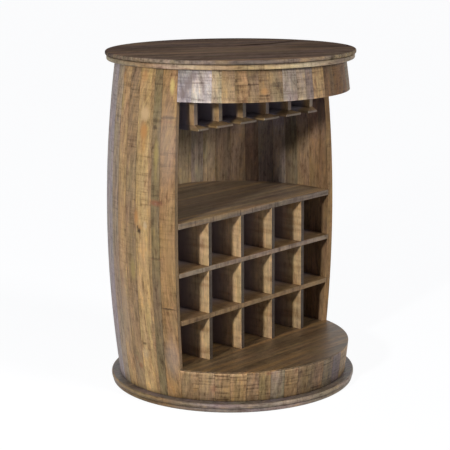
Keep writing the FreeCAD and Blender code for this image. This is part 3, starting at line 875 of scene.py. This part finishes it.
class BARREL_OT_top(PieceOperator):
    """Makes the lower disc of the top and the planks of its slab"""
    bl_idname = "barrel.make_top"
    bl_label = "Top"

    def marks(self, level):
        """Two dark patches and a pale one, and a dark crack across the right half of the slab: place, half length,
        half width, tone, strength and turn."""
        table = (
            (0.240, -0.150, 0.200, 0.130, "bark", 0.34, -33),
            (-0.180, 0.150, 0.220, 0.130, "bark", 0.2, -33),
            (0.000, -0.060, 0.280, 0.150, "tan", 0.28, -33),
            (0.150, 0.031, 0.105, 0.022, "bark", 1.0, -15),
            (0.232, 0.014, 0.075, 0.015, "bark", 0.9, -2),
            (0.310, 0.024, 0.060, 0.020, "bark", 0.5, 10),
        )
        return [
            ((x, y, level), (long, wide, MARK_DEPTH), ink, strength, math.radians(turn))
            for x, y, long, wide, ink, strength, turn in table
        ]

    def joints(self):
        """Direction across the planks, and how far along it their joints lie, from the front to the back."""
        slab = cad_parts["top_slab"].data
        upright = [face for face in slab.polygons if abs(face.normal.z) < UPRIGHT]
        across = max(upright, key=lambda face: face.area).normal.copy()
        across *= math.copysign(1, across.y)
        places = [face.center.dot(across) for face in upright if abs(face.normal.dot(across)) > SQUARE]
        return across, distinct(places, PLANK_GAP)

    def execute(self, context):
        sizes = context.scene.barrel_sizes
        node = "top_lower_disc"
        low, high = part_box(node)
        paint = wood_paint("rim_wood", life=1.6, mottle=1.2, saw=0.55, roughness=0.5, gloss=0.12)

        def rim_tone(face):
            return shade_of("umber") if abs(face.normal.z) > DISC_FLAT else rim_shade(DISC_TONES, face)

        bm = round_disc(high.x, low.z, high.z, sizes.rim_rounding)
        # Painted shade along the top edge of the lower disc, in the crease under the slab.
        painted_shade_and_wear = level_lines((high.z, -0.7, 0.0018))
        finish_piece(bm, f"{node}_wood", rim_grain(seeded(node), high.x), rim_tone, paint, node, painted_shade_and_wear)
        node = "top_slab"
        low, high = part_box(node)
        across, joints = self.joints()
        along = across.cross(Vector((0, 0, 1)))
        whole = round_disc(high.x, low.z, high.z, sizes.rim_rounding)
        planks = []
        for front, back in zip([None, *joints], [*joints, None]):
            plank = whole.copy()
            if front is not None:
                cut_flat(plank, across * front, -across)
            if back is not None:
                cut_flat(plank, across * back, across)
            ease_edges(plank, sizes.plank_ease)
            planks.append(plank)
        whole.free()
        starts = [seeded(f"plank{number}") for number in range(len(planks))]
        lights = [random.Random(f"plank shade {number}").uniform(*PLANK_LIGHT) for number in range(len(planks))]

        def plank_of(face):
            return sum(face.calc_center_median().dot(across) > joint for joint in joints)

        def grain(face, place):
            return starts[plank_of(face)] + Vector((place.dot(along), place.dot(across), place.z))

        def tone_at(face):
            if face.normal.z > BOARD_FLAT:
                return planed(shade_of("walnut", 1.04 * lights[plank_of(face)]))
            return rim_shade(SLAB_TONES, face)

        slab_paint = wood_paint(
            "stained_top", life=1.5, figure=2.4, mottle=0.8, saw=0.5, roughness=0.6, gloss=0,
            marks=self.marks(high.z),
        )
        # Painted shade along the slab's lower edge, in the crease above the lower disc.
        painted_shade_and_wear = level_lines((low.z, -0.7, 0.0018))
        finish_piece(joined(planks), "top_slab_wood", grain, tone_at, slab_paint, node, painted_shade_and_wear)
        return {"FINISHED"}


class BARREL_OT_boards(PieceOperator):
    """Makes the floor panel, the bar shelf and the ceiling panel"""
    bl_idname = "barrel.make_boards"
    bl_label = "Boards"

    def execute(self, context):
        table = (
            ("floor_panel", "stain", FLOOR_TONES, 1.8),
            ("bar_shelf", "shelf", SHELF_TONES, 1.4),
            # The ceiling panel's faces take the painted cool shade.
            ("ceiling_panel", "painted_cool_shade", CEILING_TONES, 1.4),
        )
        for node, name, edges, life in table:
            paint = wood_paint(
                f"stained_{node}", life=life, figure=2.6, mottle=0.7, saw=0.8, roughness=0.4, gloss=0.2
            )
            bm = eased_copy(node)

            def tone_at(face):
                return planed(shade_of(name)) if abs(face.normal.z) > BOARD_FLAT else rim_shade(edges, face)

            finish_piece(bm, f"{node}_wood", along_axis(seeded(node), 0), tone_at, paint, node)
        return {"FINISHED"}


class BARREL_OT_rack(PieceOperator):
    """Makes the half-lapped shelves and dividers of the bottle rack"""
    bl_idname = "barrel.make_rack"
    bl_label = "Bottle rack"

    def execute(self, context):
        # The rack takes a painted shade deep behind the opening.
        paint = wood_paint(
            "rack_wood", mottle=0.75, ripple=0.5, saw=0.6, roughness=0.5, gloss=0.2, deep=(0.035, 0.110, "painted_rack_shade")
        )
        for node in nodes_called("rack_"):
            upright = "divider" in node
            axis = 2 if upright else 0
            bm = eased_copy(node)

            def tone_at(face):
                if abs(face.normal.z) > BOARD_FLAT:
                    return planed(shade_of("stain", 1.4))
                if face.normal.y < -FRONT:
                    return shade_of(*RACK_EDGES.get(node, DIVIDER_EDGE))
                return planed(shade_of("rack") if upright else shade_of("stain", 0.6))

            finish_piece(bm, f"{node}_wood", along_axis(seeded(node), axis), tone_at, paint, node)
        return {"FINISHED"}


class BARREL_OT_rails(PieceOperator):
    """Makes the stems and bevelled feet of the stemware rails"""
    bl_idname = "barrel.make_rails"
    bl_label = "Stemware rails"

    def execute(self, context):
        # The rails take a painted cool shade behind their fronts.
        paint = wood_paint(
            "rail_wood", life=0.9, ripple=0.3, roughness=0.48, gloss=0.3, deep=(0.019, 0.044, "painted_cool_shade")
        )
        for node in nodes_called("rail_stem", "rail_foot"):
            # Axis of the grain, and lightness of the sides and of the front.
            axis, light, front = (2, 0.9, 0.65) if "stem" in node else (1, 0.5, 0.5)
            bm = eased_copy(node)

            def tone_at(face):
                # Small eased edges are pale: a painted highlight where the arrises catch the light.
                if face_kind(face) == "eased" and face.calc_area() < EASED_AREA:
                    return shade_of("straw", 0.8)
                return shade_of("edge", front) if face.normal.y < -FRONT else shade_of("tan", light)

            finish_piece(bm, f"{node}_wood", along_axis(seeded(node), axis), tone_at, paint, node)
        return {"FINISHED"}


class BARREL_OT_screws(PieceOperator):
    """Gives the hidden screws their steel"""
    bl_idname = "barrel.finish_screws"
    bl_label = "Screws"

    def execute(self, context):
        paint = steel_paint("zinc_steel")
        for node in ("base_screws", "top_screws", "rail_screws"):
            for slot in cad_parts[node].material_slots:
                slot.material = paint
        return {"FINISHED"}


class BARREL_OT_stage(bpy.types.Operator):
    """Sets up the pale floor, the lamps, the surrounding light and the camera"""
    bl_idname = "barrel.set_stage"
    bl_label = "Stage"

    def seen(self, paint):
        """Whether a ray goes straight to the eye, or by way of a reflection or glass."""
        ways = [
            paint.node("ShaderNodeLightPath", out=way)
            for way in ("Is Camera Ray", "Is Glossy Ray", "Is Transmission Ray")
        ]
        return paint.between(ways[0] + ways[1] + ways[2], 0, 1)

    def floor(self):
        bm = bmesh.new()
        bmesh.ops.create_grid(bm, x_segments=1, y_segments=1, size=40)
        mesh = bpy.data.meshes.new("floor")
        bm.to_mesh(mesh)
        bm.free()
        floor = placed("floor", mesh)
        paint = Paint(bpy.data.materials.new("pale_floor"))
        plain = paint.node("ShaderNodeBsdfDiffuse", {}, {"Color": (0.85, 0.85, 0.85, 1)})
        dim = paint.node("ShaderNodeBsdfDiffuse", {}, {"Color": (0.13, 0.13, 0.13, 1)})
        glow = paint.node("ShaderNodeEmission", {}, {"Color": (0.93, 0.93, 0.93, 1), "Strength": 1})
        white = paint.node("ShaderNodeAddShader", {}, {0: dim, 1: glow})
        shader = paint.node("ShaderNodeMixShader", {}, {0: self.seen(paint), 1: plain, 2: white})
        paint.node("ShaderNodeOutputMaterial", {}, {"Surface": shader})
        mesh.materials.append(paint.owner)
        floor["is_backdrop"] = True

    def surround(self, settings):
        world = bpy.data.worlds.new("studio")
        bpy.context.scene.world = world
        paint = Paint(world)
        cool = (0.66, 0.90, 1.60, 1)
        plain = paint.node("ShaderNodeBackground", {}, {"Color": cool, "Strength": settings.ambient})
        white = paint.node("ShaderNodeBackground", {}, {"Color": (1, 1, 1, 1), "Strength": 1})
        shader = paint.node("ShaderNodeMixShader", {}, {0: self.seen(paint), 1: plain, 2: white})
        paint.node("ShaderNodeOutputWorld", {}, {"Surface": shader})

    def hang(self, lamp, place, aim):
        hung = placed(lamp.name, lamp)
        hung.location = place
        hung.rotation_euler = (place - aim).to_track_quat("Z", "Y").to_euler()

    def key(self, settings):
        lamp = bpy.data.lights.new("key", "AREA")
        lamp.shape = "DISK"
        lamp.size = settings.key_size
        lamp.energy = settings.key_power
        away = settings.key_distance
        turn = settings.key_angle
        place = Vector((-math.sin(turn) * away, -math.cos(turn) * away, settings.key_height))
        self.hang(lamp, place, Vector((0, 0, bpy.context.scene.barrel_sizes.bulge_height)))

    def fill(self, settings):
        lamp = bpy.data.lights.new("fill", "SUN")
        lamp.energy = settings.fill_strength
        lamp.angle = settings.fill_softness
        level = math.cos(settings.fill_rise)
        turn = settings.fill_angle
        towards = Vector((-math.sin(turn) * level, -math.cos(turn) * level, math.sin(settings.fill_rise)))
        away = 4
        self.hang(lamp, away * towards, Vector((0, 0, 0)))

    def camera(self, settings):
        side = settings.eye_angle
        turn = side + settings.yaw
        eye = Vector((
            -math.sin(side) * settings.eye_distance, -math.cos(side) * settings.eye_distance, settings.eye_height
        ))
        level = math.cos(settings.pitch)
        ahead = Vector((math.sin(turn) * level, math.cos(turn) * level, -math.sin(settings.pitch)))
        right = ahead.cross(Vector((0, 0, 1))).normalized()
        upright = Matrix((right, right.cross(ahead), -ahead)).transposed()
        lens = bpy.data.cameras.new("camera")
        lens.sensor_width = 36
        lens.lens = settings.lens
        lens.shift_y = settings.shift
        lens.clip_end = 200
        camera = placed("camera", lens)
        camera.matrix_world = Matrix.Translation(eye) @ (upright @ Matrix.Rotation(settings.roll, 3, "Z")).to_4x4()
        bpy.context.scene.camera = camera

    def execute(self, context):
        settings = context.scene.barrel_studio
        self.floor()
        self.surround(settings)
        self.key(settings)
        self.fill(settings)
        self.camera(settings)
        context.scene.view_settings.view_transform = "Standard"
        return {"FINISHED"}


class BARREL_PT_panel(bpy.types.Panel):
    """Lists the steps that dress the cabinet"""
    bl_idname = "BARREL_PT_panel"
    bl_label = "Barrel Bar Cabinet"
    bl_space_type = "VIEW_3D"
    bl_region_type = "UI"
    bl_category = "Barrel Bar"

    def draw(self, context):
        for step in STEPS:
            self.layout.operator(step.bl_idname)
        for group in (context.scene.barrel_tones, context.scene.barrel_sizes, context.scene.barrel_studio):
            box = self.layout.box()
            for name in group.bl_rna.properties.keys():
                if name not in ("rna_type", "name"):
                    box.prop(group, name)


STEPS = (
    BARREL_OT_staves, BARREL_OT_blocks, BARREL_OT_base, BARREL_OT_top, BARREL_OT_boards, BARREL_OT_rack,
    BARREL_OT_rails, BARREL_OT_screws, BARREL_OT_stage,
)
CLASSES = (WoodTones, WorkSizes, StudioSettings, *STEPS, BARREL_PT_panel)


def register():
    for each in CLASSES:
        bpy.utils.register_class(each)
    bpy.types.Scene.barrel_tones = PointerProperty(type=WoodTones)
    bpy.types.Scene.barrel_sizes = PointerProperty(type=WorkSizes)
    bpy.types.Scene.barrel_studio = PointerProperty(type=StudioSettings)


def unregister():
    del bpy.types.Scene.barrel_studio
    del bpy.types.Scene.barrel_sizes
    del bpy.types.Scene.barrel_tones
    for each in reversed(CLASSES):
        bpy.utils.unregister_class(each)


def main():
    register()
    bpy.ops.barrel.make_staves()
    bpy.ops.barrel.make_blocks()
    bpy.ops.barrel.make_base()
    bpy.ops.barrel.make_top()
    bpy.ops.barrel.make_boards()
    bpy.ops.barrel.make_rack()
    bpy.ops.barrel.make_rails()
    bpy.ops.barrel.finish_screws()
    bpy.ops.barrel.set_stage()
    boxes = {"cad": frame_box, "visual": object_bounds()}
    {name: [list(corner) for corner in box] for name, box in boxes.items()}


if __name__ == "__main__":
    main()
